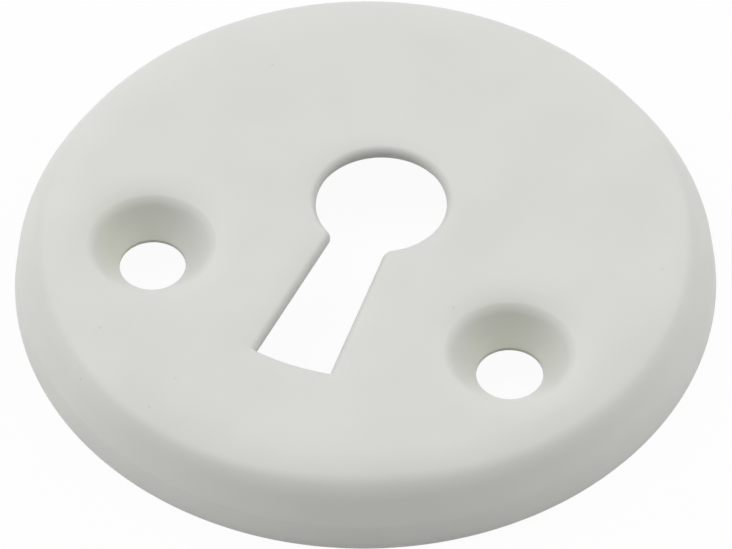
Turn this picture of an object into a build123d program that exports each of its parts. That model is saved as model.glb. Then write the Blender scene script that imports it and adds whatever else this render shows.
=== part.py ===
from build123d import *
import os
from math import cos, radians, sin, tan

# Keyhole escutcheon: one disc of thin sheet, pressed to a shallow cap with a hollow back.
# Millimetres. The back edge lies on z = 0, the axis of the disc is Z, and the round end
# of the keyhole points to +Y.

# Pressed cap
outer_diameter = 50.0
total_height = 5.1
sheet_thickness = 1.05     # 1 mm sheet with its coating
lip_height = 1.45          # upright foot under the leaning side
side_lean = 31.0           # degrees between the side and the disc's axis
shoulder_radius = 2.45     # outside of the bend between side and face
crown_radius = 7.0         # gentler curve that leads from that bend into the flat face
crown_turn = 18.5          # degrees of the turn that the gentler curve takes up

# Pressed dishes for two countersunk screws
screw_spacing = 27.2
screw_drop = 6.62          # from the disc's centre towards -Y
screw_hole_diameter = 4.7
dish_angle = 83.0          # included angle of the cone
dish_depth = 2.94          # from the face to the underside at the hole
mouth_roll_radius = 4.8    # gentle curve that leads from the flat face to the fold of the mouth
mouth_roll_turn = 15.0     # degrees of slope that the gentle curve takes up
mouth_fade = 4.0           # degrees of slope with which it meets the face
hole_land = 0.29           # straight wall of the screw hole

# Punched keyhole
key_round_diameter = 9.49
key_round_rise = 3.22      # from the disc's centre towards +Y
slot_reach = 16.57         # from the centre of the round part to the end of the slot
slot_end_width = 5.96
slot_flare = 3.65          # degrees that each side of the slot opens towards its end
slot_corner_radius = 0.9   # where the slot's sides run into the round part
punched_edge_radius = 0.45  # the punch drags the face down over part of the sheet's thickness

# Overshoot of the bodies that are cut away, so that no two faces lie on each other
margin = 1.0

# The pressed face seen in half section: flat, crown, shoulder, side, from the axis outwards
crown_end = 90 - crown_turn
shoulder_turn = crown_end - side_lean
crown_run = crown_radius * cos(radians(crown_end))
crown_drop = crown_radius * (1 - sin(radians(crown_end)))
shoulder_run = shoulder_radius * (cos(radians(side_lean)) - cos(radians(crown_end)))
shoulder_drop = shoulder_radius * (sin(radians(crown_end)) - sin(radians(side_lean)))
shoulder_over_crown = crown_radius - shoulder_radius
side_drop = total_height - crown_drop - shoulder_drop - lip_height
side_run = side_drop * tan(radians(side_lean))
flat_radius = outer_diameter / 2 - side_run - shoulder_run - crown_run

# The dish in half section about its own axis
cone_slope = 90 - dish_angle / 2
fold_radius = sheet_thickness    # the sheet folds sharply, so its back has a plain corner there
hole_floor = total_height - dish_depth
roll_over_fold = mouth_roll_radius - fold_radius
roll_centre_height = total_height - mouth_roll_radius * cos(radians(mouth_fade))
fold_centre_height = roll_centre_height + roll_over_fold * cos(radians(mouth_roll_turn))
fold_end_height = fold_centre_height + fold_radius * cos(radians(cone_slope))
cone_rise = fold_end_height - hole_floor - hole_land
fold_end_radius = screw_hole_diameter / 2 + cone_rise / tan(radians(cone_slope))
fold_centre_radius = fold_end_radius + fold_radius * sin(radians(cone_slope))
roll_centre_radius = fold_centre_radius + roll_over_fold * sin(radians(mouth_roll_turn))


def cap_body(inset):
    """Solid of revolution below the pressed face, taken this far inside it and down past the foot."""
    crown_centre = (flat_radius, total_height - crown_radius)
    crown = CenterArc(crown_centre, crown_radius - inset, 90, -crown_turn)
    shoulder_centre = (
        crown_centre[0] + shoulder_over_crown * cos(radians(crown_end)),
        crown_centre[1] + shoulder_over_crown * sin(radians(crown_end)),
    )
    shoulder = CenterArc(shoulder_centre, shoulder_radius - inset, crown_end, -shoulder_turn)
    lip_top = (outer_diameter / 2 - inset, lip_height - inset * tan(radians(side_lean / 2)))
    foot = (lip_top[0], -margin)
    rest = Polyline(shoulder @ 1, lip_top, foot, (0, -margin), (0, total_height - inset), crown @ 0)
    section = Plane.XZ * make_face(crown + shoulder + rest)
    return revolve(section, axis=Axis.Z)


def dish_space():
    """Space above a dish's surface on the face side, on the Z axis."""
    roll_centre = (roll_centre_radius, roll_centre_height)
    roll_turn = mouth_roll_turn - mouth_fade
    roll = CenterArc(roll_centre, mouth_roll_radius, 90 + mouth_fade, roll_turn)
    fold_centre = (fold_centre_radius, fold_centre_height)
    fold_turn = cone_slope - mouth_roll_turn
    fold = CenterArc(fold_centre, fold_radius, 90 + mouth_roll_turn, fold_turn)
    mouth = roll @ 0
    mouth_top = (mouth.X + margin / tan(radians(mouth_fade)), mouth.Y + margin)
    cone_top = fold @ 1
    cone_foot = (cone_top.X - (cone_top.Y - hole_floor) / tan(radians(cone_slope)), hole_floor)
    rest = Polyline(cone_top, cone_foot, (0, hole_floor), (0, mouth_top[1]), mouth_top, mouth)
    section = Plane.XZ * make_face(roll + fold + rest)
    return revolve(section, axis=Axis.Z)


def dish_back():
    """Body that a dish fills behind the face: its cone, one sheet further out."""
    foot_radius = fold_centre_radius - (fold_centre_height - hole_floor) / tan(radians(cone_slope))
    top_radius = foot_radius + dish_depth / tan(radians(cone_slope))
    cone = Cone(foot_radius, top_radius, dish_depth, align=(Align.CENTER, Align.CENTER, Align.MIN))
    return Pos(0, 0, hole_floor) * cone


def keyhole_outline():
    """Round part with a flared slot whose end is an arc about the round part's centre."""
    end_half = slot_end_width / 2
    flare = tan(radians(slot_flare))
    past_end = slot_reach + margin
    wedge = make_face(
        Polyline(
            (-end_half + slot_reach * flare, 0),
            (-end_half - margin * flare, -past_end),
            (end_half + margin * flare, -past_end),
            (end_half - slot_reach * flare, 0),
            close=True,
        )
    )
    outline = Circle(key_round_diameter / 2) + (wedge & Circle(slot_reach))
    junctions = outline.vertices().group_by(Axis.Y)[1]
    return fillet(junctions, slot_corner_radius)


def escutcheon():
    """Sheet of even thickness between the pressed face and its back, then punched."""
    screw_places = Locations((-screw_spacing / 2, -screw_drop), (screw_spacing / 2, -screw_drop))
    screw_hole = Cylinder(screw_hole_diameter / 2, 2 * total_height)
    above_foot = Cylinder(outer_diameter, total_height, align=(Align.CENTER, Align.CENTER, Align.MIN))
    face_side = cap_body(0) & above_foot
    back_side = cap_body(sheet_thickness)
    for place in screw_places.locations:
        face_side -= place * dish_space()
        face_side -= place * screw_hole
        back_side -= place * dish_back()
    plate = face_side - back_side
    punch = extrude(Pos(0, key_round_rise) * keyhole_outline(), total_height + margin)
    plate -= punch
    face = plate.faces().filter_by(Plane.XY).sort_by(Axis.Z)[-1]
    keyhole_rim = face.inner_wires().sort_by(lambda wire: abs(wire.center().X))[0]
    return fillet(keyhole_rim.edges(), punched_edge_radius)


escutcheon_plate = escutcheon()

os.makedirs("parts", exist_ok=True)
export_step(escutcheon_plate, "parts/escutcheon_plate.step")
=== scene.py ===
import logging
from dataclasses import dataclass, field
from enum import Enum
from math import acos, asin, atan2, cos, pi, radians, sin, sqrt, tan

import bmesh
import bpy
import numpy as np
from mathutils import Matrix, Vector
from mathutils.geometry import delaunay_2d_cdt


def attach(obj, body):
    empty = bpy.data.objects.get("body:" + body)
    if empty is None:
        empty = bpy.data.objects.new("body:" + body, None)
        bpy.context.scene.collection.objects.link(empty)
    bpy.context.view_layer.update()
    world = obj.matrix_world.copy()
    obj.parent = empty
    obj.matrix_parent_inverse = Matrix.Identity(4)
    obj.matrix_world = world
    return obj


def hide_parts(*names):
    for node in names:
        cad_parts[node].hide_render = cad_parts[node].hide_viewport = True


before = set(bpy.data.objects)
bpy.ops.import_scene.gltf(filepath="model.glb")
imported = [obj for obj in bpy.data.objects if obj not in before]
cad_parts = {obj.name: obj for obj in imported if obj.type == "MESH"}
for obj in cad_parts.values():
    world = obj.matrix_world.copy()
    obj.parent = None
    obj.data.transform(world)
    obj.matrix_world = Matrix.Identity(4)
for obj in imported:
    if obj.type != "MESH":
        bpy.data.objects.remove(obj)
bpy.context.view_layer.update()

# Keyhole escutcheon: a thin disc of sheet, pressed to a shallow cap with two dished screw
# holes and a punched keyhole, and coated white. Sizes are in millimetres with the part's own
# axes: the back edge lies on z = 0 and the round end of the keyhole points to +Y.

MM = 0.001
BATCH = 400  # points per table of distances, so that the tables stay small
LOG = logging.getLogger("escutcheon")

Array = np.ndarray
Socket = bpy.types.NodeSocket
Tree = bpy.types.NodeTree


class Skin(Enum):
    """The two skins of the pressed sheet."""

    FACE = "face"
    BACK = "back"


def linear(hex_colour: str) -> tuple[float, float, float, float]:
    """Turns an sRGB colour into linear light.

    Args:
        hex_colour: the colour as "#RRGGBB".

    Returns:
        Linear red, green and blue, with an alpha of 1.
    """
    parts = [int(hex_colour[i:i + 2], 16) / 255 for i in (1, 3, 5)]
    lit = [c / 12.92 if c <= 0.04045 else ((c + 0.055) / 1.055) ** 2.4 for c in parts]
    return (lit[0], lit[1], lit[2], 1.0)


def add_node(
    tree: Tree,
    kind: str,
    settings: dict[str | int, object] | None = None,
    links: dict[str | int, Socket] | None = None,
) -> bpy.types.Node:
    """Adds one shader node.

    Args:
        tree: the node tree that takes it.
        kind: Blender's name for the kind of node.
        settings: values for the node's own properties or for its input sockets.
        links: input sockets, each with the output socket that feeds it.

    Returns:
        The new node.
    """
    node = tree.nodes.new(kind)
    for name, value in (settings or {}).items():
        if isinstance(name, str) and hasattr(node, name):
            setattr(node, name, value)
        else:
            node.inputs[name].default_value = value
    for name, source in (links or {}).items():
        tree.links.new(source, node.inputs[name])
    return node


def shown_rays(tree: Tree) -> Socket:
    """Tells the rays that see plain white from those that carry light.

    Args:
        tree: the node tree that needs it.

    Returns:
        The socket that is 1 for camera, glossy and see-through rays and 0 for others.
    """
    path = add_node(tree, "ShaderNodeLightPath")
    shown = path.outputs["Is Camera Ray"]
    for ray in ("Is Glossy Ray", "Is Transmission Ray"):
        links = {0: shown, 1: path.outputs[ray]}
        shown = add_node(tree, "ShaderNodeMath", {"operation": "MAXIMUM"}, links).outputs[0]
    return shown


def fan(angles: Array) -> Array:
    """Unit vectors at these angles, in radians from the first axis, as rows."""
    return np.stack([np.cos(angles), np.sin(angles)], axis=1)


def arc(centre: tuple[float, float], radius: float, start: float, end: float, steps: int) -> Array:
    """Samples an arc of a section.

    Args:
        centre: its centre, as distance from the axis and height.
        radius: its radius.
        start: direction of its first point from the centre, in degrees.
        end: direction of its last point.
        steps: how many equal steps it has.

    Returns:
        Its points, as rows of distance and height.
    """
    return np.asarray(centre) + radius * fan(np.radians(np.linspace(start, end, steps + 1)))


def between(start: Array, end: Array, steps: int) -> Array:
    """Points that cut a straight stretch into equal steps, without its two ends."""
    return np.linspace(start, end, steps + 1)[1:-1]


def shares(length: float, spacing: float) -> Array:
    """Even shares from 0 to 1 that cut a run into at least three steps of about this spacing."""
    return np.linspace(0, 1, max(3, round(length / spacing)) + 1)


def soft_corner(before: Array, corner: Array, after: Array, radius: float, steps: int) -> Array:
    """Rounds one corner of a section.

    Args:
        before: the point that the section comes from.
        corner: the corner itself.
        after: the point that the section goes to.
        radius: the rounding.
        steps: how many equal steps it has.

    Returns:
        The points of the rounding, in the section's order.
    """
    inward = before - corner
    inward /= np.linalg.norm(inward)
    outward = after - corner
    outward /= np.linalg.norm(outward)
    half_angle = acos(float(np.clip(inward @ outward, -1, 1))) / 2
    middle = inward + outward
    middle /= np.linalg.norm(middle)
    centre = corner + middle * radius / sin(half_angle)
    first = corner + inward * radius / tan(half_angle) - centre
    last = corner + outward * radius / tan(half_angle) - centre
    sweep = acos(float(np.clip(first @ last / radius**2, -1, 1)))
    share = np.linspace(0, 1, steps + 1)[:, None]
    return centre + (np.sin((1 - share) * sweep) * first + np.sin(share * sweep) * last) / sin(sweep)


def ring_plan(radius: float, count: int, centre: tuple[float, float] = (0.0, 0.0)) -> Array:
    """Points of a circle in plan.

    Args:
        radius: its radius.
        count: how many points it has.
        centre: its centre.

    Returns:
        The points, as rows of x and y.
    """
    return np.asarray(centre) + radius * fan(np.arange(count) * 2 * pi / count)


def nearest(plan: Array, others: Array) -> Array:
    """Measures how close other points come.

    Args:
        plan: rows of x and y.
        others: the other points, as rows of x and y.

    Returns:
        For each row of the plan, its distance from the closest of the others.
    """
    batches = np.array_split(plan, max(1, len(plan) // BATCH))
    tables = (np.hypot(*(batch[:, None, :] - others[None]).transpose(2, 0, 1)) for batch in batches)
    return np.concatenate([table.min(axis=1) for table in tables])


@dataclass
class SheetMesh:
    """Closed sheet whose vertices and faces are gathered ring by ring."""

    points: list[Array] = field(default_factory=list)
    faces: list[tuple[int, ...]] = field(default_factory=list)
    count: int = 0

    def add(self, points: Array) -> Array:
        """Adds vertices.

        Args:
            points: rows of x, y and z.

        Returns:
            The new vertices' numbers.
        """
        numbers = np.arange(self.count, self.count + len(points))
        self.points.append(points)
        self.count += len(points)
        return numbers

    def strip(self, rings: list[Array]) -> tuple[Array, Array]:
        """Adds closed rings of equal length and joins each to the next.

        Args:
            rings: the rings, each with rows of x, y and z.

        Returns:
            The vertex numbers of the first ring and of the last.
        """
        numbers = [self.add(ring) for ring in rings]
        for inner, outer in zip(numbers, numbers[1:]):
            for a, b, c, d in zip(inner, np.roll(inner, -1), np.roll(outer, -1), outer):
                self.faces.append((int(a), int(b), int(c), int(d)))
        return numbers[0], numbers[-1]

    def finish(self, name: str, merge: float, sharp_angle: float) -> bpy.types.Object:
        """Makes the object.

        Args:
            name: the piece's name.
            merge: vertices nearer than this become one.
            sharp_angle: edges that turn by more degrees than this stay crisp.

        Returns:
            The object, in metres, linked to the scene.
        """
        skin = bpy.data.meshes.new(name)
        skin.from_pydata((np.concatenate(self.points) * MM).tolist(), [], self.faces)
        work = bmesh.new()
        work.from_mesh(skin)
        bmesh.ops.remove_doubles(work, verts=work.verts, dist=merge * MM)
        bmesh.ops.recalc_face_normals(work, faces=work.faces)
        work.to_mesh(skin)
        work.free()
        skin.shade_smooth()
        skin.set_sharp_from_angle(angle=radians(sharp_angle))
        piece = bpy.data.objects.new(name, skin)
        bpy.context.collection.objects.link(piece)
        return piece


@dataclass
class Sheet:
    """The sheet that the plate is pressed from."""

    height: float = 5.1
    thickness: float = 1.05

    def top(self, skin: Skin) -> float:
        """Height of the flat part of a skin."""
        return self.height - self.inset(skin)

    def inset(self, skin: Skin) -> float:
        """How far a skin lies under the face."""
        return self.thickness if skin is Skin.BACK else 0.0


@dataclass(frozen=True)
class PressedBend:
    """Section of a pressed bend from flat to wall: a wide roll, a fold and a rounder bend.

    Slopes are in degrees from the flat. Each of the three stretches is cut into `steps`.
    """

    roll_radius: float
    roll_slope: float
    fold_radius: float
    fold_slope: float
    bend_radius: float
    wall_slope: float
    steps: int = 8

    def spans(self) -> list[tuple[float, float, float]]:
        """Radius, first slope and last slope of each stretch, the slopes in radians."""
        slopes = [radians(slope) for slope in (0.0, self.roll_slope, self.fold_slope, self.wall_slope)]
        return list(zip((self.roll_radius, self.fold_radius, self.bend_radius), slopes, slopes[1:]))

    @property
    def run(self) -> float:
        """Its length in plan."""
        return sum(radius * (sin(last) - sin(first)) for radius, first, last in self.spans())

    @property
    def fall(self) -> float:
        """The height that it loses."""
        return sum(radius * (cos(first) - cos(last)) for radius, first, last in self.spans())

    @property
    def roll_run(self) -> float:
        """The roll's length in plan."""
        return self.roll_radius * sin(radians(self.roll_slope))

    def drop(self, reach: Array) -> Array:
        """Height lost at these distances into the roll."""
        reach = np.clip(reach, 0, self.roll_run)
        return self.roll_radius - np.sqrt(self.roll_radius**2 - reach**2)

    def points(self, reach: float) -> Array:
        """Samples the section from a place in the roll to the wall.

        Args:
            reach: how far into the roll it starts.

        Returns:
            Rows of distance from the start of the roll and height lost.
        """
        start = asin(reach / self.roll_radius)
        parts = [np.array([[reach, self.roll_radius * (1 - cos(start))]])]
        run = 0.0
        fall = 0.0
        for radius, first, last in self.spans():
            slope = np.linspace(max(first, start), last, self.steps + 1)[1:]
            along = run + radius * (np.sin(slope) - sin(first))
            down = fall + radius * (cos(first) - np.cos(slope))
            parts.append(np.stack([along, down], axis=1))
            run = along[-1]
            fall = down[-1]
        return np.concatenate(parts)


@dataclass
class CapRim:
    """Edge of the pressed cap: a rolled and folded shoulder, a leaning side and a steep lip.

    The fold is crisp, but softer along one stretch of the edge, which fades out over
    `soft_spread` degrees to each side of `soft_middle`. The side's line, drawn on, would reach
    the rim's full radius at `lip_height`. The seam, where the rim meets the rest of the plate,
    lies in the roll of every section, and `inner_flat` is where the back's roll starts.
    """

    sheet: Sheet
    radius: float = 25.0
    lip_height: float = 1.45
    lip_lean: float = 7.9
    lip_round: float = 1.09
    foot_round: float = 0.12
    side_lean: float = 31.0
    crisp: PressedBend = PressedBend(11.6, 18.5, 1.5, 44.0, 3.6, 59.0)
    soft: PressedBend = PressedBend(7.0, 17.0, 2.15, 40.0, 3.5, 59.0)
    inner: PressedBend = PressedBend(5.95, 18.5, 1.4, 40.0, 1.4, 59.0)
    soft_middle: float = -65.0
    soft_spread: float = 24.0
    ring_count: int = 288
    fill_step: float = 0.4
    fill_past: float = 1.0
    seam_radius: float = field(init=False)
    inner_flat: float = field(init=False)

    def __post_init__(self) -> None:
        """Works out the seam and the start of the back's roll."""
        self.inner_flat = self.flat_radius(self.soft)
        starts = (self.flat_radius(self.crisp), self.inner_flat, self.inner_flat)
        bends = (self.crisp, self.soft, self.inner)
        ends = [start + bend.roll_run for start, bend in zip(starts, bends)]
        self.seam_radius = (max(starts) + min(ends)) / 2

    def flat_radius(self, bend: PressedBend) -> float:
        """Where a bend of the face has to start so that the side ends at the lip."""
        side_drop = self.sheet.height - bend.fall - self.lip_height
        return self.radius - side_drop * tan(radians(self.side_lean)) - bend.run

    def softness(self, plan: Array) -> Array:
        """Tells how soft the fold is round the edge.

        Args:
            plan: rows of x and y.

        Returns:
            The share of the soft section for each row.
        """
        turn = np.degrees(np.arctan2(plan[:, 1], plan[:, 0])) - self.soft_middle
        away = (turn + 180) % 360 - 180
        return np.exp(-((away / self.soft_spread) ** 2))

    def drop(self, plan: Array, skin: Skin) -> Array:
        """How far a skin falls away below its flat part, inside the rim's seam.

        Args:
            plan: rows of x and y.
            skin: the skin meant.

        Returns:
            One fall per row.
        """
        distance = np.hypot(plan[:, 0], plan[:, 1])
        if skin is Skin.BACK:
            return self.inner.drop(distance - self.inner_flat)
        soft = self.softness(plan)
        crisp_drop = self.crisp.drop(distance - self.flat_radius(self.crisp))
        return soft * self.soft.drop(distance - self.flat_radius(self.soft)) + (1 - soft) * crisp_drop

    def section(self, bend: PressedBend) -> Array:
        """Section from the face's seam round the foot to the back's seam.

        Args:
            bend: the bend of the face.

        Returns:
            Rows of radius and height.
        """
        flat = self.flat_radius(bend)
        outwards = np.array([1.0, -1.0])
        face = np.array([flat, self.sheet.height]) + bend.points(self.seam_radius - flat) * outwards
        start = np.array([self.inner_flat, self.sheet.top(Skin.BACK)])
        back = (start + self.inner.points(self.seam_radius - self.inner_flat) * outwards)[::-1]
        fold_centre = self.lip_centre()
        hollow_round = self.lip_round - self.sheet.thickness
        lip = arc(fold_centre, self.lip_round, self.side_lean, self.lip_lean, steps=6)
        hollow = arc(fold_centre, hollow_round, self.lip_lean, self.side_lean, steps=3)
        foot_out = np.array([self.foot_radius, 0.0])
        foot_in = foot_out - (self.sheet.thickness / cos(radians(self.lip_lean)), 0.0)
        side = between(face[-1], lip[0], steps=7)
        outer_foot = soft_corner(lip[-1], foot_out, foot_in, self.foot_round, steps=4)
        inner_foot = soft_corner(foot_out, foot_in, hollow[0], self.foot_round, steps=4)
        behind = between(hollow[-1], back[0], steps=5)
        return np.concatenate([face, side, lip, outer_foot, inner_foot, hollow, behind, back])

    @property
    def foot_radius(self) -> float:
        """Radius of the foot's corner before it is rounded back to the rim's full radius."""
        return self.radius + self.foot_round * (1 / tan(radians(45 - self.lip_lean / 2)) - 1)

    def lip_centre(self) -> tuple[float, float]:
        """Works out where the fold between side and lip turns.

        Returns:
            The fold's centre, as radius and height.
        """
        side = tan(radians(self.side_lean))
        lip = tan(radians(self.lip_lean))
        corner_height = (self.radius - self.foot_radius + self.lip_height * side) / (side - lip)
        corner_radius = self.foot_radius - corner_height * lip
        reach = self.lip_round / cos(radians(self.side_lean - self.lip_lean) / 2)
        middle = radians(self.side_lean + self.lip_lean) / 2
        return corner_radius - reach * cos(middle), corner_height - reach * sin(middle)

    def rings(self) -> list[Array]:
        """Blends the two sections round the axis.

        Returns:
            The rings from the face's seam round the foot to the back's, in rows of x, y and z.
        """
        circle = ring_plan(1.0, self.ring_count)
        soft = self.softness(circle)
        rings = []
        for soft_point, crisp_point in zip(self.section(self.soft), self.section(self.crisp)):
            distance = soft * soft_point[0] + (1 - soft) * crisp_point[0]
            height = soft * soft_point[1] + (1 - soft) * crisp_point[1]
            rings.append(np.column_stack([circle * distance[:, None], height]))
        return rings

    def fill_rings(self) -> list[Array]:
        """Lays circles that carry the roll from the seam past the start of the flat.

        Returns:
            The circles, each with rows of x and y.
        """
        start = self.seam_radius - self.fill_step
        radii = np.arange(start, self.inner_flat - self.fill_past, -self.fill_step)
        return [ring_plan(radius, self.ring_count) for radius in radii]


@dataclass
class ScrewDish:
    """Pressed dish with a hole for a countersunk screw: a pressed bend and a slightly bowled wall.

    Its back is a plain cone. The seam, where the dish meets the rest of the plate, lies half
    way along the roll.
    """

    sheet: Sheet
    x: float
    y: float = -6.62
    hole_radius: float = 2.35
    hole_edge: float = 2.45
    hole_land: float = 0.29
    edge_round: float = 0.08
    foot_slope: float = 42.7
    bend: PressedBend = PressedBend(5.7, 19.8, 0.7, 32.4, 2.1, 51.8)
    bowl_steps: int = 10
    corner_round: float = 0.15
    ring_count: int = 128
    fill_step: float = 0.3
    fill_past: float = 0.6
    chord_slope: float = field(init=False)
    bowl_radius: float = field(init=False)
    mouth_radius: float = field(init=False)
    seam_radius: float = field(init=False)

    def __post_init__(self) -> None:
        """Works out where the wall and the bend meet."""
        wall_rise = self.sheet.height - self.bend.fall - self.hole_edge
        self.chord_slope = radians(self.bend.wall_slope + self.foot_slope) / 2
        half_turn = radians(self.bend.wall_slope - self.foot_slope) / 2
        self.bowl_radius = wall_rise / sin(self.chord_slope) / 2 / sin(half_turn)
        self.mouth_radius = self.hole_radius + wall_rise / tan(self.chord_slope) + self.bend.run
        self.seam_radius = self.mouth_radius - self.bend.roll_run / 2

    def drop(self, plan: Array, skin: Skin) -> Array:
        """How far a skin falls away below its flat part, outside the dish's seam.

        Args:
            plan: rows of x and y.
            skin: the skin meant.

        Returns:
            One fall per row.
        """
        if skin is Skin.BACK:
            return np.zeros(len(plan))
        return self.bend.drop(self.mouth_radius - np.hypot(plan[:, 0] - self.x, plan[:, 1] - self.y))

    def face(self) -> Array:
        """Section of the face from the seam down to the hole's edge.

        Returns:
            Rows of distance from the dish's axis and height.
        """
        mouth = np.array([self.mouth_radius, self.sheet.height])
        bend = mouth - self.bend.points(self.mouth_radius - self.seam_radius)
        slope = np.radians(np.linspace(self.bend.wall_slope, self.foot_slope, self.bowl_steps + 1)[1:])
        first = radians(self.bend.wall_slope)
        bowl = np.stack([np.sin(slope) - sin(first), cos(first) - np.cos(slope)], axis=1)
        return np.concatenate([bend, bend[-1] + self.bowl_radius * bowl])

    def section(self) -> Array:
        """Section from the face's seam down round the hole to the back's seam.

        Returns:
            Rows of distance from the dish's axis and height.
        """
        face = self.face()
        floor = self.hole_edge - self.hole_land
        top = self.sheet.top(Skin.BACK)
        behind = self.hole_radius + self.sheet.thickness / sin(self.chord_slope)
        heel, corner = (
            np.array([behind + (height - self.hole_edge) / tan(self.chord_slope), height])
            for height in (floor, top)
        )
        land = np.array([self.hole_radius, floor])
        seam = np.array([self.seam_radius, top])
        # The rounding of the hole's edge takes the place of the wall's last two points
        wall = face[:-2]
        upper = soft_corner(wall[-1], face[-1], land, self.edge_round, steps=4)
        lower = soft_corner(face[-1], land, heel, self.edge_round, steps=4)
        outer = soft_corner(land, heel, corner, self.edge_round, steps=4)
        cone = between(heel, corner, steps=5)
        fold = soft_corner(heel, corner, seam, self.corner_round, steps=3)
        return np.concatenate([wall, upper, lower, outer, cone, fold, seam[None]])

    def rings(self) -> list[Array]:
        """Turns the section about the dish's axis.

        Returns:
            The rings from the face's seam down round the hole to the back's, in rows of x, y and z.
        """
        circle = ring_plan(1.0, self.ring_count)
        return [
            np.column_stack([circle * distance + (self.x, self.y), np.full(self.ring_count, height)])
            for distance, height in self.section()
        ]

    def fill_rings(self) -> list[Array]:
        """Lays circles that carry the roll from the seam past the start of the flat.

        Returns:
            The circles, each with rows of x and y.
        """
        start = self.seam_radius + self.fill_step
        radii = np.arange(start, self.mouth_radius + self.fill_past, self.fill_step)
        return [ring_plan(radius, self.ring_count, (self.x, self.y)) for radius in radii]


@dataclass
class Keyhole:
    """Punched keyhole: a round part and a flared slot.

    The punch rolls the edge of the face over most of the sheet's thickness and breaks the rest
    away at a slant. It stood a touch askew, by `turn` degrees. Distances from the outline are
    measured on one that is drawn `fineness` times finer than `spacing`.
    """

    sheet: Sheet
    x: float = -0.05
    y: float = 3.175
    turn: float = -0.25
    round_radius: float = 4.66
    slot_reach: float = 16.4
    slot_half_end: float = 2.79
    slot_flare: float = 3.67
    corner_radius: float = 0.9
    edge_round: float = 0.495
    break_width: float = 0.15
    roll_width: float = 1.75
    roll_depth: float = 0.263
    spacing: float = 0.26
    fineness: int = 8
    end_corner_steps: int = 8
    seam_past: float = 0.05
    fill_step: float = 0.22
    fill_past: float = 0.3

    @property
    def seam_gap(self) -> float:
        """Distance from the outline to the seam, just past the rolled edge."""
        return self.edge_round + self.seam_past

    @property
    def axes(self) -> Array:
        """The keyhole's own sideways and upward directions in the plan, as rows."""
        turn = radians(self.turn)
        return np.array([[cos(turn), sin(turn)], [-sin(turn), cos(turn)]])

    def outline(self, spacing: float) -> tuple[Array, Array]:
        """Samples the outline, anticlockwise from the middle of the slot's end.

        Args:
            spacing: distance between neighbours.

        Returns:
            The points, and at each the direction that leads away from the opening.
        """
        # Directions across the slot's right side and along it, away from the round part
        flare = radians(self.slot_flare)
        out = np.array([cos(flare), sin(flare)])
        down = np.array([sin(flare), -cos(flare)])
        away = (self.slot_half_end - self.slot_reach * tan(flare)) * cos(flare)
        neck_run = sqrt((self.round_radius + self.corner_radius) ** 2 - (away + self.corner_radius) ** 2)
        neck = out * (away + self.corner_radius) + down * neck_run
        end_corner = out * away + down * sqrt(self.slot_reach**2 - away**2)
        end_half = atan2(end_corner[0], -end_corner[1])
        neck_half = atan2(neck[0], -neck[1])

        def sweep(first: float, last: float, radius: float) -> Array:
            """Directions with even steps along an arc of this radius."""
            return fan(first + (last - first) * shares(abs(last - first) * radius, spacing))

        end_turn = sweep(-pi / 2, -pi / 2 + end_half, self.slot_reach)
        corner_turn = fan(np.linspace(-pi / 2 + end_half, flare, self.end_corner_steps + 1)[1:])
        side_run = neck - out * self.corner_radius - end_corner
        side = end_corner + side_run * shares(np.linalg.norm(side_run), spacing)[1:, None]
        # The neck bends most, so its steps are half as long
        neck_turn = sweep(pi + flare, pi / 2 + neck_half, 2 * self.corner_radius)[1:]
        round_turn = sweep(-pi / 2 + neck_half, pi / 2, self.round_radius)[1:]
        points = np.concatenate([
            end_turn * self.slot_reach,
            np.repeat(end_corner[None], len(corner_turn), axis=0),
            side,
            neck + neck_turn * self.corner_radius,
            round_turn * self.round_radius,
        ])
        normals = np.concatenate([
            end_turn,
            corner_turn,
            np.repeat(out[None], len(side), axis=0),
            -neck_turn,
            round_turn,
        ])
        mirror = np.array([-1.0, 1.0])
        points = np.concatenate([points, points[-2:0:-1] * mirror])
        normals = np.concatenate([normals, normals[-2:0:-1] * mirror])
        return points @ self.axes + (self.x, self.y), normals @ self.axes

    def gap(self, plan: Array) -> Array:
        """Distance from each point of the plan to the outline."""
        return nearest(plan, self.outline(self.spacing / self.fineness)[0])

    def opening(self, plan: Array) -> Array:
        """Tells which points lie in the opening.

        Args:
            plan: rows of x and y.

        Returns:
            True for each row that does.
        """
        local = (plan - (self.x, self.y)) @ self.axes.T
        distance = np.hypot(*local.T)
        half = self.slot_half_end + (-local[:, 1] - self.slot_reach) * tan(radians(self.slot_flare))
        slot = (np.abs(local[:, 0]) < half) & (local[:, 1] < 0) & (distance < self.slot_reach)
        return slot | (distance < self.round_radius)

    def roll(self, gap: Array) -> Array:
        """Fall of the face beside the opening, where the punch dragged it down."""
        return self.roll_depth * np.clip(1 - gap / self.roll_width, 0, 1) ** 2

    def section(self) -> Array:
        """Section from the face's seam over the rolled edge and the break to the back's seam.

        Returns:
            Rows of distance from the outline and height.
        """
        top = self.sheet.top(Skin.FACE)
        low = self.sheet.top(Skin.BACK)
        edge = arc((self.edge_round, top - self.edge_round), self.edge_round, 90, 180, steps=9)
        face = np.concatenate([[[self.seam_gap, top]], edge])
        face[:, 1] -= self.roll(face[:, 0])
        back = np.array([[self.break_width, low], [self.seam_gap, low]])
        return np.concatenate([face, between(face[-1], back[0], steps=3), back])

    def rings(self) -> list[Array]:
        """Leads the section round the outline.

        Returns:
            The rings from the face's seam to the back's, in rows of x, y and z.
        """
        points, normals = self.outline(self.spacing)
        return [
            np.column_stack([points + normals * gap, np.full(len(points), height)])
            for gap, height in self.section()
        ]

    def fill_rings(self) -> list[Array]:
        """Lays wider outlines that carry the roll from the seam past the start of the flat.

        Returns:
            The outlines, each with rows of x and y.
        """
        points, normals = self.outline(self.spacing)
        gaps = np.arange(self.seam_gap + self.fill_step, self.roll_width + self.fill_past, self.fill_step)
        return [points + normals * gap for gap in gaps]


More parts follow.
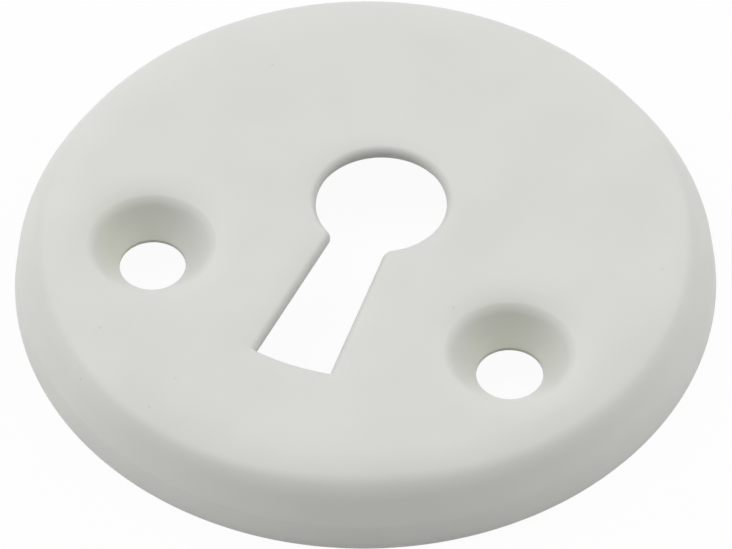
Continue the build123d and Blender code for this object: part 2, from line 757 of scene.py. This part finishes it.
@dataclass(frozen=True)
class DustNib:
    """A speck of dust that was baked into the coat and stands up from it."""

    x: float
    y: float
    radius: float = 0.12


@dataclass(frozen=True)
class PowderCoat:
    """Polyester powder coat, sprayed dry on steel sheet and baked.

    The melt levels to an even, matt, slightly warm white. Close to, it keeps a faint ripple and
    patches that are a shade thicker or thinner, and a few specks of dust are caught in it. In the
    dishes the colour is painted a little darker and yellower: a painted tint that stands for the
    light bounced between the dish walls. The painted tint is full up to the first of its two
    reaches from a dish's middle and gone at the second.
    """

    thin_colour: str = "#D8D8D4"
    thick_colour: str = "#DADAD6"
    # Painted tint, darker and yellower, that stands for light bounced between the dish walls
    painted_bounce_colour: str = "#D5D7CA"
    dust_colour: str = "#CDCEC9"
    roughness: tuple[float, float] = (0.5, 0.6)
    ior: float = 1.5
    patch_mm: float = 6.0
    patch_detail: float = 3.0
    patch_range: tuple[float, float] = (0.35, 0.65)
    ripple_mm: float = 0.7
    ripple_detail: float = 2.0
    ripple_height_mm: float = 0.0012
    nib_height_mm: float = 0.014
    nib_fade: float = 1.5
    # Where the painted bounce tint lies: full near each dish's middle, gone further out
    painted_bounce_reach: tuple[float, float] = (1.6, 4.2)
    painted_bounce_spots: tuple[tuple[float, float, float], ...] = ((-15.1, -5.7, 3.4), (12.8, -5.3, 3.4))
    nibs: tuple[DustNib, ...] = (
        DustNib(-12.26, 12.28),
        DustNib(20.77, 4.48),
        DustNib(8.51, -4.47),
        DustNib(-13.72, -15.4),
        DustNib(-7.69, -20.53),
        DustNib(-6.91, -17.8, 0.09),
        DustNib(-13.49, -19.3, 0.09),
    )

    def patches(self, tree: Tree, place: Socket) -> Socket:
        """Adds the coat's uneven thickness.

        Args:
            tree: the material's nodes.
            place: where a point lies on the object.

        Returns:
            The socket whose value runs from 0, thin, to 1, thick.
        """
        cloud = add_node(
            tree,
            "ShaderNodeTexNoise",
            {"Scale": 1 / (self.patch_mm * MM), "Detail": self.patch_detail},
            {"Vector": place},
        )
        thickness = add_node(
            tree,
            "ShaderNodeMapRange",
            {"From Min": self.patch_range[0], "From Max": self.patch_range[1]},
            {"Value": cloud.outputs["Fac"]},
        )
        return thickness.outputs[0]

    def near(
        self,
        tree: Tree,
        place: Socket,
        centre: tuple[float, float, float],
        reach: tuple[float, float],
    ) -> Socket:
        """Marks what lies close to a point.

        Args:
            tree: the material's nodes.
            place: where a point lies on the object.
            centre: the point, in millimetres.
            reach: the distance up to which the mark is full, and the one where it has faded out.

        Returns:
            The socket that carries the mark, from 0 to 1.
        """
        away = add_node(
            tree,
            "ShaderNodeVectorMath",
            {"operation": "DISTANCE", 1: tuple(c * MM for c in centre)},
            {0: place},
        )
        mark = add_node(
            tree,
            "ShaderNodeMapRange",
            {
                "interpolation_type": "SMOOTHSTEP",
                "From Min": reach[0] * MM,
                "From Max": reach[1] * MM,
                "To Min": 1.0,
                "To Max": 0.0,
            },
            {"Value": away.outputs["Value"]},
        )
        return mark.outputs[0]

    def most(self, tree: Tree, marks: list[Socket]) -> Socket:
        """Joins marks, so that each point takes the strongest.

        Args:
            tree: the material's nodes.
            marks: the sockets that carry them.

        Returns:
            The socket that carries the joined mark.
        """
        joined = marks[0]
        for mark in marks[1:]:
            links = {0: joined, 1: mark}
            joined = add_node(tree, "ShaderNodeMath", {"operation": "MAXIMUM"}, links).outputs[0]
        return joined

    def specks(self, tree: Tree, place: Socket) -> Socket:
        """Marks the dust nibs, which are found in plan.

        Args:
            tree: the material's nodes.
            place: where a point lies on the object.

        Returns:
            The socket that carries the mark, which is 1 at the top of a nib and fades to 0 round it.
        """
        flatten = {"operation": "MULTIPLY", 1: (1.0, 1.0, 0.0)}
        plan = add_node(tree, "ShaderNodeVectorMath", flatten, {0: place}).outputs[0]
        marks = [
            self.near(tree, plan, (nib.x, nib.y, 0.0), (0.0, nib.radius * self.nib_fade))
            for nib in self.nibs
        ]
        return self.most(tree, marks)

    def colour(self, tree: Tree, place: Socket, thickness: Socket, specks: Socket) -> Socket:
        """Mixes the coat's colour, with the painted bounce tint in the dishes.

        Args:
            tree: the material's nodes.
            place: where a point lies on the object.
            thickness: the coat's thickness there, from 0 to 1.
            specks: the mark of the dust nibs.

        Returns:
            The socket that carries the colour.
        """
        # Painted tint: the dishes are painted darker and yellower for the light that bounces between their
        # walls
        painted_bounce_spots = [self.near(tree, place, centre, self.painted_bounce_reach) for centre in self.painted_bounce_spots]
        shade = {"data_type": "RGBA", 6: linear(self.thin_colour), 7: linear(self.thick_colour)}
        mixed = add_node(tree, "ShaderNodeMix", shade, {0: thickness})
        for colour, mark in ((self.painted_bounce_colour, self.most(tree, painted_bounce_spots)), (self.dust_colour, specks)):
            mixed = add_node(
                tree,
                "ShaderNodeMix",
                {"data_type": "RGBA", 7: linear(colour)},
                {0: mark, 6: mixed.outputs[2]},
            )
        return mixed.outputs[2]

    def dress(self, piece: bpy.types.Object) -> None:
        """Makes the coat's material and gives it to a piece.

        Args:
            piece: the piece that is coated.
        """
        # Baked powder: to the eye an even matt white, with a dull sheen that follows the bends
        material = bpy.data.materials.new("white_powder_coat_on_steel")
        material.use_nodes = True
        tree = material.node_tree
        tree.nodes.clear()
        place = add_node(tree, "ShaderNodeTexCoord").outputs["Object"]
        thickness = self.patches(tree, place)
        # Thick patches level better and so shine a little more
        gloss = add_node(
            tree,
            "ShaderNodeMapRange",
            {"To Min": self.roughness[1], "To Max": self.roughness[0]},
            {"Value": thickness},
        )
        ripple = add_node(
            tree,
            "ShaderNodeTexNoise",
            {"Scale": 1 / (self.ripple_mm * MM), "Detail": self.ripple_detail},
            {"Vector": place},
        )
        specks = self.specks(tree, place)
        relief = add_node(
            tree,
            "ShaderNodeMath",
            {"operation": "MULTIPLY_ADD", 1: self.nib_height_mm / self.ripple_height_mm},
            {0: specks, 2: ripple.outputs["Fac"]},
        )
        bump = add_node(
            tree,
            "ShaderNodeBump",
            {"Strength": 1.0, "Distance": self.ripple_height_mm * MM},
            {"Height": relief.outputs[0]},
        )
        coat = add_node(
            tree,
            "ShaderNodeBsdfPrincipled",
            {"IOR": self.ior},
            {
                "Base Color": self.colour(tree, place, thickness, specks),
                "Roughness": gloss.outputs[0],
                "Normal": bump.outputs["Normal"],
            },
        )
        add_node(tree, "ShaderNodeOutputMaterial", None, {"Surface": coat.outputs["BSDF"]})
        piece.data.materials.clear()
        piece.data.materials.append(material)


@dataclass
class EscutcheonPlate:
    """The whole plate: one closed sheet with its rim, dishes and keyhole.

    Rim, dishes and keyhole are strips of rings. Between their seams each skin is filled with
    triangles: on rings that follow the rolls, which keep `ring_clear` from what is there
    already, and on an even grid, which keeps `grid_clear` of its spacing. What lies inside the
    keyhole's seam by less than `seam_play` counts as on it, and `mesh_play` is the rounding
    that the triangulation allows itself.
    """

    sheet: Sheet = field(default_factory=Sheet)
    coat: PowderCoat = PowderCoat()
    screw_half_spacing: float = 13.6
    grid_spacing: float = 0.95
    grid_clear: float = 0.6
    ring_clear: float = 0.2
    merge: float = 0.002
    seam_play: float = 0.0005
    mesh_play: float = 1e-9
    sharp_angle: float = 38.0
    rim: CapRim = field(init=False)
    dishes: list[ScrewDish] = field(init=False)
    keyhole: Keyhole = field(init=False)

    def __post_init__(self) -> None:
        """Sets the features into the sheet."""
        self.rim = CapRim(self.sheet)
        self.dishes = [ScrewDish(self.sheet, x) for x in (-self.screw_half_spacing, self.screw_half_spacing)]
        self.keyhole = Keyhole(self.sheet)

    def fall(self, plan: Array, skin: Skin, besides: CapRim | ScrewDish | None = None) -> Array:
        """How far a skin lies below its flat part.

        Args:
            plan: rows of x and y.
            skin: the skin meant.
            besides: a feature whose own fall is left out.

        Returns:
            One fall per row.
        """
        features = [f for f in (self.rim, *self.dishes) if f is not besides]
        return sum(f.drop(plan, skin) for f in features)

    def turned(self, feature: CapRim | ScrewDish) -> list[Array]:
        """Rings of a feature that is round in plan, let down where another feature falls away.

        Args:
            feature: the rim or a dish.

        Returns:
            The rings from the face's seam to the back's, in rows of x, y and z.
        """
        rings = feature.rings()
        for number, ring in enumerate(rings):
            skin = Skin.FACE if number < len(rings) // 2 else Skin.BACK
            ring[:, 2] -= self.fall(ring[:, :2], skin, feature)
        return rings

    def grid(self) -> Array:
        """Lays an even grid over the disc.

        Returns:
            The corners of triangles with equal sides, as rows of x and y.
        """
        side = np.arange(-self.rim.radius, self.rim.radius, self.grid_spacing)
        row_height = sqrt(3) / 2
        grid_x, grid_y = np.meshgrid(side, side * row_height)
        grid_x = grid_x + (np.arange(len(side)) % 2)[:, None] * self.grid_spacing / 2
        return np.column_stack([grid_x.ravel(), grid_y.ravel()])

    def fill_points(self, seams: Array) -> Array:
        """Spreads points over the part of the plan between the seams.

        Args:
            seams: the seams' own points, which the others keep clear of.

        Returns:
            Rows of x and y.
        """
        features = (self.keyhole, *self.dishes, self.rim)
        sets = [(ring, self.ring_clear) for feature in features for ring in feature.fill_rings()]
        sets.append((self.grid(), self.grid_clear * self.grid_spacing))
        kept = seams
        for plan, clear in sets:
            plan = plan[self.between_seams(plan)]
            kept = np.concatenate([kept, plan[nearest(plan, kept) > clear]])
        return kept[len(seams):]

    def between_seams(self, plan: Array) -> Array:
        """Tells which points lie between the seams.

        Args:
            plan: rows of x and y.

        Returns:
            True for each row that does.
        """
        inside = np.hypot(plan[:, 0], plan[:, 1]) < self.rim.seam_radius
        for dish in self.dishes:
            inside &= np.hypot(plan[:, 0] - dish.x, plan[:, 1] - dish.y) > dish.seam_radius
        clear = self.keyhole.gap(plan) > self.keyhole.seam_gap - self.seam_play
        return inside & ~self.keyhole.opening(plan) & clear

    def triangles(self, seams: list[Array], inner: Array) -> Array:
        """Joins the seams and the points between them to triangles.

        Args:
            seams: each seam's points, in rows of x and y.
            inner: the points between them.

        Returns:
            Rows of three numbers that count through the seams and then the inner points.
        """
        plan = np.concatenate([*seams, inner])
        loops = []
        start = 0
        for seam in seams:
            count = len(seam)
            loops += [(start + i, start + (i + 1) % count) for i in range(count)]
            start += count
        whole_hull = 0  # the triangulation's own number for keeping every triangle it makes
        corners = [Vector(point) for point in plan.tolist()]
        result = delaunay_2d_cdt(corners, loops, [], whole_hull, self.mesh_play)
        faces, origins = result[2:4]
        source = np.array([origin[0] for origin in origins])
        triangles = source[np.array(faces)]
        return triangles[self.between_seams(plan[triangles].mean(axis=1))]

    def build(self) -> bpy.types.Object:
        """Builds the sheet.

        Returns:
            The finished piece, which rides on the root and stands for the solid.
        """
        sheet = SheetMesh()
        strips = [*(self.turned(feature) for feature in (self.rim, *self.dishes)), self.keyhole.rings()]
        ends = [sheet.strip(rings) for rings in strips]
        seams = [rings[0][:, :2] for rings in strips]
        inner = self.fill_points(np.concatenate(seams))
        face_z = self.sheet.top(Skin.FACE) - self.fall(inner, Skin.FACE)
        face_z = face_z - self.keyhole.roll(self.keyhole.gap(inner))
        back_z = self.sheet.top(Skin.BACK) - self.fall(inner, Skin.BACK)
        triangles = self.triangles(seams, inner)
        for z, skin_seams in zip((face_z, back_z), zip(*ends)):
            numbers = np.concatenate([*skin_seams, sheet.add(np.column_stack([inner, z]))])
            sheet.faces += [tuple(face) for face in numbers[triangles].tolist()]
        piece = sheet.finish("escutcheon_plate_pressed", self.merge, self.sharp_angle)
        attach(piece, "root")
        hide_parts("escutcheon_plate")
        return piece

    def dress(self, piece: bpy.types.Object) -> None:
        """Coats the finished piece."""
        self.coat.dress(piece)


@dataclass(frozen=True)
class MattPaper:
    """Matt white paper, which has no shine and shows only the plate's soft shadow.

    Where it is seen, `glow` of it is plain white, so that the ground is as pale as the photo's.
    """

    colour: str = "#EBEBEB"
    glow: float = 0.95

    def dress(self, piece: bpy.types.Object) -> None:
        """Makes the paper's material and gives it to a piece.

        Args:
            piece: the floor.
        """
        # Uncoated paper: to the eye a plain white ground with no sheen
        material = bpy.data.materials.new("matt_white_paper")
        material.use_nodes = True
        tree = material.node_tree
        tree.nodes.clear()
        paper = add_node(tree, "ShaderNodeBsdfDiffuse", {"Color": linear(self.colour)})
        white = add_node(tree, "ShaderNodeEmission", {"Strength": 1.0})
        share = add_node(
            tree,
            "ShaderNodeMath",
            {"operation": "MULTIPLY", 1: self.glow},
            {0: shown_rays(tree)},
        )
        mixed = add_node(
            tree,
            "ShaderNodeMixShader",
            None,
            {0: share.outputs[0], 1: paper.outputs[0], 2: white.outputs[0]},
        )
        add_node(tree, "ShaderNodeOutputMaterial", None, {"Surface": mixed.outputs[0]})
        piece.data.materials.append(material)


@dataclass(frozen=True)
class Softbox:
    """A soft lamp of the studio, aimed at the plate: a square box, or a low strip. Sizes in metres.

    Its bearing is measured clockwise from above: 0 is behind the plate as the camera sees it
    and 90 is to the camera's right.
    """

    name: str
    bearing: float
    elevation: float
    brightness: float
    height: float = 0.5
    width: float = 0.5
    distance: float = 1.0

    def build(self, azimuth: float) -> None:
        """Hangs the lamp.

        Args:
            azimuth: the camera's bearing round the plate, in degrees.
        """
        lamp = bpy.data.lights.new(self.name, "AREA")
        lamp.shape = "RECTANGLE"
        lamp.size = self.width
        lamp.size_y = self.height
        # The power that makes a lamp of this size as bright, seen from the plate, as stated
        lamp.energy = self.brightness * pi * self.width * self.height
        holder = bpy.data.objects.new(self.name, lamp)
        turn = radians(self.bearing - azimuth)
        rise = radians(self.elevation)
        aim = Vector((sin(turn) * cos(rise), cos(turn) * cos(rise), sin(rise)))
        holder.location = aim * self.distance
        holder.rotation_euler = aim.to_track_quat("Z", "Y").to_euler()
        holder.visible_camera = False
        bpy.context.collection.objects.link(holder)


@dataclass
class Studio:
    """Pale floor, plain surround and soft lamps: boxes from above, and a low strip at each side.

    The floor's size is in metres. It lies `floor_gap` millimetres under the plate.
    """

    floor_size: float = 6.0
    floor_gap: float = 0.02
    paper: MattPaper = MattPaper()
    white: str = "#FFFFFF"
    fill_light: float = 0.24
    lamps: tuple[Softbox, ...] = (
        Softbox("strip_left", -90, 6, 4.5, height=0.2),
        Softbox("softbox_left", -90, 50, 2.76),
        Softbox("softbox_back_left", -45, 45, 2.79),
        Softbox("softbox_back_right", 45, 45, 2.36),
        Softbox("strip_right", 90, 6, 2.5, height=0.2),
        Softbox("softbox_right", 90, 41, 2.56),
        Softbox("softbox_above", 0, 65, 1.69),
    )

    def build_floor(self) -> bpy.types.Object:
        """Lays the floor.

        Returns:
            The floor, marked as stage.
        """
        half = self.floor_size / 2
        level = -self.floor_gap * MM
        skin = bpy.data.meshes.new("studio_floor")
        corners = [(-half, -half, level), (half, -half, level), (half, half, level), (-half, half, level)]
        skin.from_pydata(corners, [], [(0, 1, 2, 3)])
        floor = bpy.data.objects.new("studio_floor", skin)
        bpy.context.collection.objects.link(floor)
        self.paper.dress(floor)
        return floor

    def build_surround(self) -> None:
        """Gives the world its dim fill light, and white where it is seen."""
        world = bpy.data.worlds.new("studio_surround")
        world.use_nodes = True
        tree = world.node_tree
        tree.nodes.clear()
        fill, seen = (
            add_node(tree, "ShaderNodeBackground", {"Color": linear(self.white), "Strength": strength})
            for strength in (self.fill_light, 1.0)
        )
        mixed = add_node(
            tree,
            "ShaderNodeMixShader",
            None,
            {0: shown_rays(tree), 1: fill.outputs[0], 2: seen.outputs[0]},
        )
        add_node(tree, "ShaderNodeOutputWorld", None, {"Surface": mixed.outputs[0]})
        bpy.context.scene.world = world

    def build(self, azimuth: float) -> None:
        """Sets up floor, surround and lamps.

        Args:
            azimuth: the camera's bearing round the plate, in degrees.
        """
        floor = self.build_floor()
        LOG.info("%s: laid", floor.name)
        self.build_surround()
        for lamp in self.lamps:
            lamp.build(azimuth)
        LOG.info("lamps: %d", len(self.lamps))


@dataclass
class PortraitCamera:
    """Long-lens camera at the photograph's viewing angle."""

    azimuth: float = 22.64
    elevation: float = 48.56
    roll: float = -0.565
    distance: float = 436.7
    shift_right: float = 0.035
    shift_up: float = 0.125
    lens: float = 300.97
    sensor: float = 36.0
    clip_start: float = 10.0

    def build(self) -> bpy.types.Object:
        """Sets up the camera and makes it the scene's own.

        Returns:
            The camera.
        """
        turn = radians(self.azimuth)
        rise = radians(self.elevation)
        back = Vector((sin(turn) * cos(rise), -cos(turn) * cos(rise), sin(rise)))
        level = Vector((cos(turn), sin(turn), 0.0))
        upright = back.cross(level)
        tilt = radians(self.roll)
        right = level * cos(tilt) + upright * sin(tilt)
        up = upright * cos(tilt) - level * sin(tilt)
        data = bpy.data.cameras.new("portrait_camera")
        data.lens = self.lens
        data.sensor_width = self.sensor
        data.clip_start = self.clip_start * MM
        camera = bpy.data.objects.new("portrait_camera", data)
        pose = Matrix((right, up, back)).transposed().to_4x4()
        pose.translation = (back * self.distance + right * self.shift_right + up * self.shift_up) * MM
        camera.matrix_world = pose
        bpy.context.collection.objects.link(camera)
        bpy.context.scene.camera = camera
        return camera


def main() -> None:
    """Builds and dresses the plate, then the camera and the studio."""
    logging.basicConfig(level=logging.INFO, format="%(name)s: %(message)s")
    plate = EscutcheonPlate()
    piece = plate.build()
    plate.dress(piece)
    LOG.info("%s: %d faces, coated", piece.name, len(piece.data.polygons))
    camera = PortraitCamera()
    LOG.info("%s: set up", camera.build().name)
    Studio().build(camera.azimuth)
    bpy.context.scene.view_settings.view_transform = "Standard"


if __name__ == "__main__":
    main()
